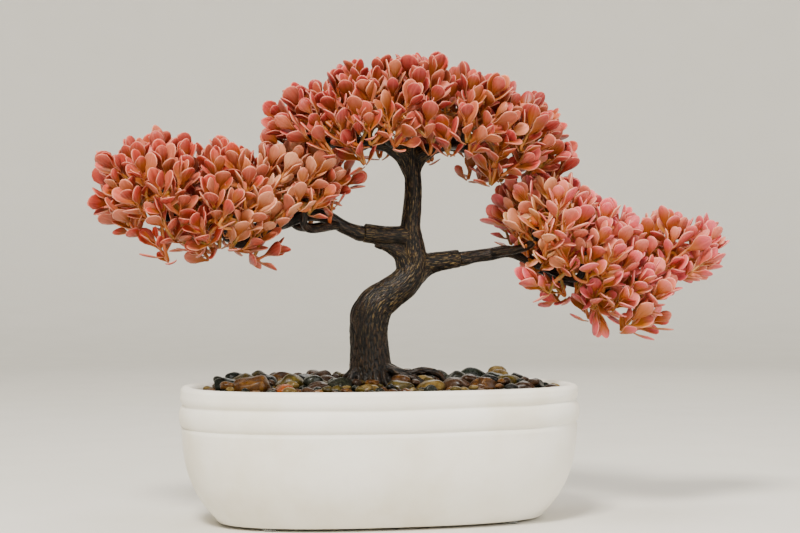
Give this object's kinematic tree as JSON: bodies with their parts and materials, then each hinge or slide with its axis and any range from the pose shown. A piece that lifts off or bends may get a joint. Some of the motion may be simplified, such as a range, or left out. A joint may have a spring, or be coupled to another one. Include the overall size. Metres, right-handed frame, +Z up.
{
  "type": "artificial bonsai tree in an oval ceramic pot",
  "caption": "Artificial bonsai tree with pads of pink moulded foliage on a bent brown trunk, in a white oval ceramic pot dressed with river pebbles.",
  "frame": {"origin": "middle of the whole object's outline, on the surface that it stands on", "axes": "+X along the pot's long side, towards the lower right-hand branch; +Y away from the tree's broad front; +Z up"},
  "size_m": [0.368, 0.131, 0.2576],
  "materials": {
    "white_ceramic": "matt biscuit-like white",
    "clear_pad": "clear soft vinyl",
    "cement": "rough cast cement, tinted earth brown",
    "bark": "dark brown moulding with bark grooves, ridges brushed with gold-brown",
    "branch_bark": "dark brown moulding, smoother than the trunk",
    "coral_foliage": "satin, coral leaves with pale edges on orange stems",
    "pink_foliage": "satin, pink leaves with pale edges on orange stems",
    "rose_foliage": "satin, rose leaves with pale edges on orange stems",
    "bottle_green_stone": "polished",
    "amber_stone": "polished",
    "orange_stone": "polished",
    "black_stone": "polished",
    "olive_stone": "polished",
    "red_brown_stone": "polished",
    "slate_stone": "polished",
    "sand_stone": "polished"
  },
  "bodies": {
    "root": {"pot": "white_ceramic", "bumper_pad_1": "clear_pad", "bumper_pad_2": "clear_pad", "bumper_pad_3": "clear_pad", "bumper_pad_4": "clear_pad", "filler_block": "cement", "trunk": "bark", "left_branch": "branch_bark", "right_branch": "branch_bark", "crown_left_branch": "branch_bark", "crown_right_branch": "branch_bark", "left_spray_1": "coral_foliage", "left_spray_2": "coral_foliage", "left_spray_3": "coral_foliage", "left_spray_4": "coral_foliage", "left_spray_5": "coral_foliage", "left_spray_6": "coral_foliage", "crown_spray_1": "pink_foliage", "crown_spray_2": "pink_foliage", "crown_spray_3": "pink_foliage", "crown_spray_4": "pink_foliage", "crown_spray_5": "pink_foliage", "crown_spray_6": "pink_foliage", "crown_spray_7": "pink_foliage", "crown_spray_8": "pink_foliage", "right_spray_1": "rose_foliage", "right_spray_2": "rose_foliage", "right_spray_3": "rose_foliage", "right_spray_4": "rose_foliage", "right_spray_5": "rose_foliage", "right_spray_6": "rose_foliage", "pebble_1": "bottle_green_stone", "pebble_2": "amber_stone", "pebble_3": "orange_stone", "pebble_4": "black_stone", "pebble_5": "olive_stone", "pebble_6": "red_brown_stone", "pebble_7": "black_stone", "pebble_8": "slate_stone", "pebble_9": "red_brown_stone", "pebble_10": "sand_stone", "pebble_11": "olive_stone", "pebble_12": "sand_stone", "pebble_13": "sand_stone", "pebble_14": "red_brown_stone", "pebble_15": "slate_stone", "pebble_16": "amber_stone", "pebble_17": "bottle_green_stone", "pebble_18": "olive_stone", "pebble_19": "red_brown_stone", "pebble_20": "black_stone", "pebble_21": "black_stone", "pebble_22": "olive_stone", "pebble_23": "amber_stone", "pebble_24": "bottle_green_stone", "pebble_25": "amber_stone", "pebble_26": "slate_stone", "pebble_27": "amber_stone", "pebble_28": "olive_stone", "pebble_29": "bottle_green_stone"}
  },
  "joints": []
}
